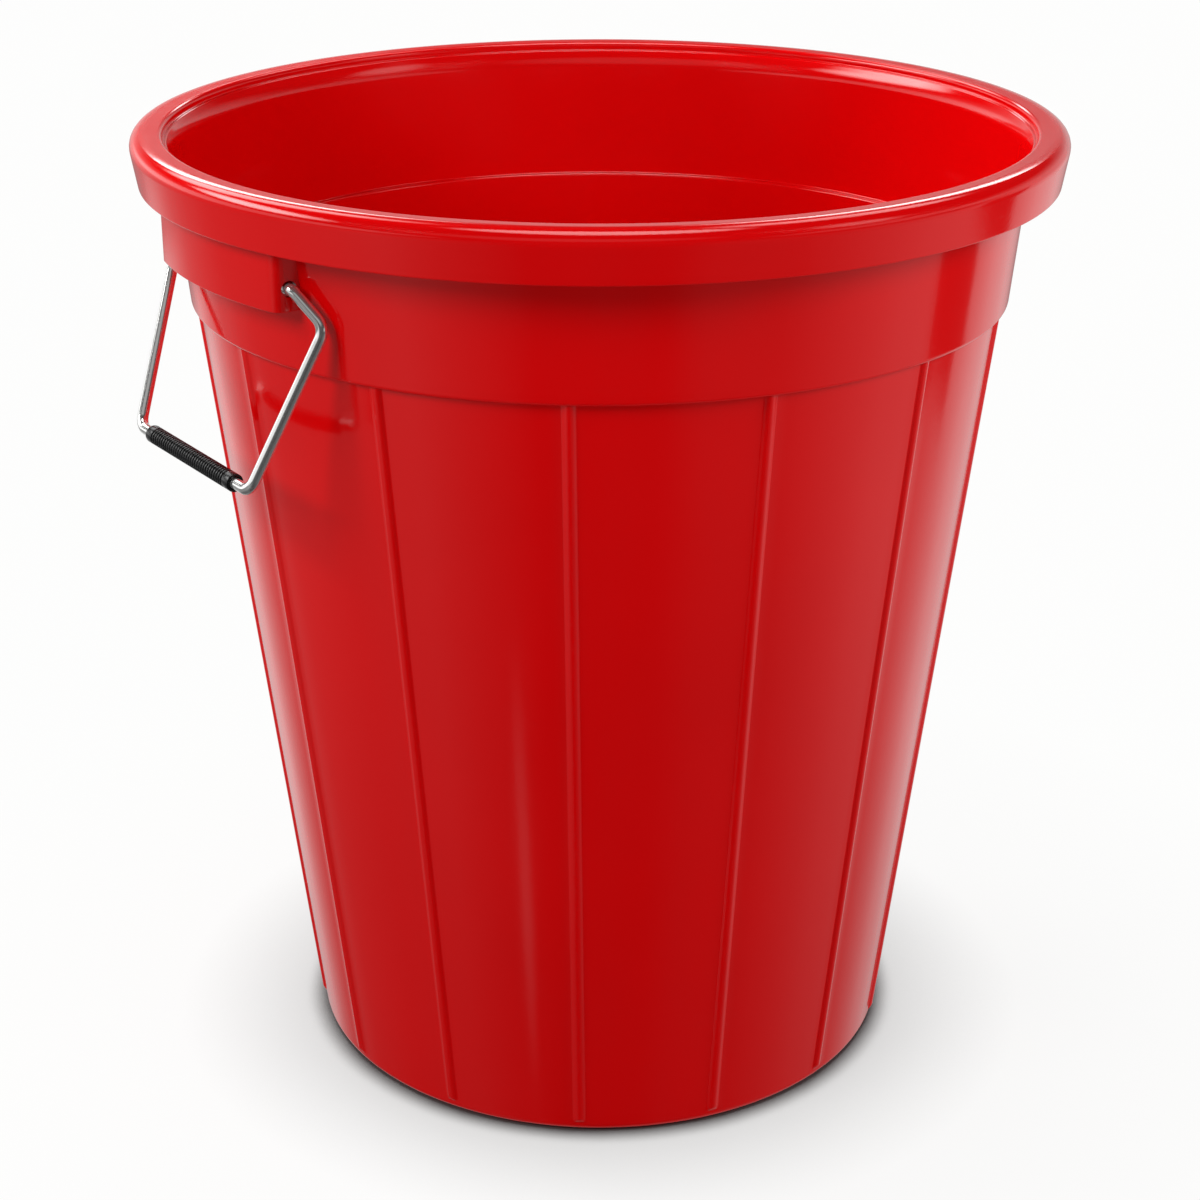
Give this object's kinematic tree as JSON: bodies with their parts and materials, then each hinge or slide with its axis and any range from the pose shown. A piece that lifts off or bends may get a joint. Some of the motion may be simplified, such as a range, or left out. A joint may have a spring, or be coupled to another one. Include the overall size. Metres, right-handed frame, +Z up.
{
  "type": "plastic drum",
  "caption": "Open tapered plastic drum with a ribbed round body, ledged collar, turned-down rim and swinging wire handles with ribbed sleeve grips.",
  "frame": {"origin": "middle of the flat base, on the floor", "axes": "+Z up along the middle axis, +X and -X through the middles of the two handles, Y along their pivot lines"},
  "size_m": [0.5159, 0.5102, 0.5428],
  "materials": {
    "tub_plastic": "glossy moulded red",
    "bail_wire": "bright polished wire",
    "grip_sleeve": "satin black, ribbed"
  },
  "bodies": {
    "tub": {"tub_floor": "tub_plastic", "tub_wall": "tub_plastic", "tub_collar": "tub_plastic", "tub_rim": "tub_plastic", "left_boss": "tub_plastic", "right_boss": "tub_plastic"},
    "left_bail": {"left_bail": "bail_wire"},
    "left_grip": {"left_grip": "grip_sleeve"},
    "right_bail": {"right_bail": "bail_wire"},
    "right_grip": {"right_grip": "grip_sleeve"}
  },
  "joints": [
    {"name": "left_bail_swing", "type": "hinge", "parent": "tub", "child": "left_bail", "pos_m": [-0.22902, 0, 0.496], "axis": [0, 1, 0], "range_deg": [-7, 150]},
    {"name": "right_bail_swing", "type": "hinge", "parent": "tub", "child": "right_bail", "pos_m": [0.22902, 0, 0.496], "axis": [0, -1, 0], "range_deg": [0, 157]},
    {"name": "left_grip_spin", "type": "hinge", "parent": "left_bail", "child": "left_grip", "pos_m": [-0.256, 0, 0.39604], "axis": [0, 1, 0], "continuous": true},
    {"name": "right_grip_spin", "type": "hinge", "parent": "right_bail", "child": "right_grip", "pos_m": [0.24362, 0, 0.3935], "axis": [0, -1, 0], "continuous": true}
  ]
}
